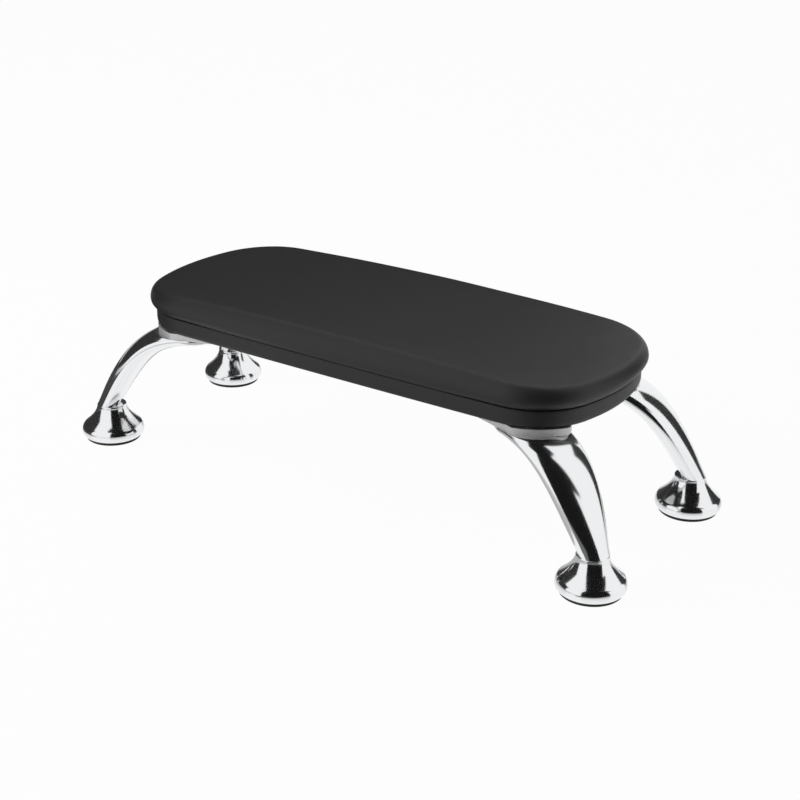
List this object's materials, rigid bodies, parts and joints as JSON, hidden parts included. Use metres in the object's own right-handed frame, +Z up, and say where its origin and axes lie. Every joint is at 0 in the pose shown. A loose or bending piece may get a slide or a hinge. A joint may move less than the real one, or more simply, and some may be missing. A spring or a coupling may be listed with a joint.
{
  "type": "manicure hand rest",
  "caption": "Raised padded hand rest for manicures: a long cushioned leatherette pad with rounded corners on curved chromed legs with bell-shaped feet.",
  "frame": {"origin": "on the table under the middle of the pad, at the bottom centre of the whole object's box", "axes": "+X along the pad's length to the right, +Y across the pad to the rear, +Z up from the table"},
  "size_m": [0.474, 0.194, 0.1358],
  "materials": {
    "leatherette": "smooth matte charcoal leatherette",
    "foam": "open-cell foam",
    "plywood": "unfinished plywood",
    "lining_cloth": "thin black non-woven cloth",
    "staple_steel": "zinc-plated wire",
    "leg_chrome": "polished chrome plating",
    "plate_steel": "satin-plated steel",
    "screw_steel": "zinc-plated steel",
    "foot_chrome": "polished chrome plating",
    "glide_rubber": "black rubber"
  },
  "bodies": {
    "root": {"top_panel": "leatherette", "side_band": "leatherette", "foam_core": "foam", "base_board": "plywood", "underside_cloth": "lining_cloth", "hem_staples": "staple_steel", "cloth_staples": "staple_steel", "leg_front_left": "leg_chrome", "leg_front_right": "leg_chrome", "leg_rear_left": "leg_chrome", "leg_rear_right": "leg_chrome", "plate_front_left": "plate_steel", "plate_front_right": "plate_steel", "plate_rear_left": "plate_steel", "plate_rear_right": "plate_steel", "leg_bolts": "screw_steel", "plate_screws": "screw_steel", "foot_front_left": "foot_chrome", "foot_front_right": "foot_chrome", "foot_rear_left": "foot_chrome", "foot_rear_right": "foot_chrome", "glide_front_left": "glide_rubber", "glide_front_right": "glide_rubber", "glide_rear_left": "glide_rubber", "glide_rear_right": "glide_rubber", "foot_screws": "screw_steel"}
  },
  "joints": []
}
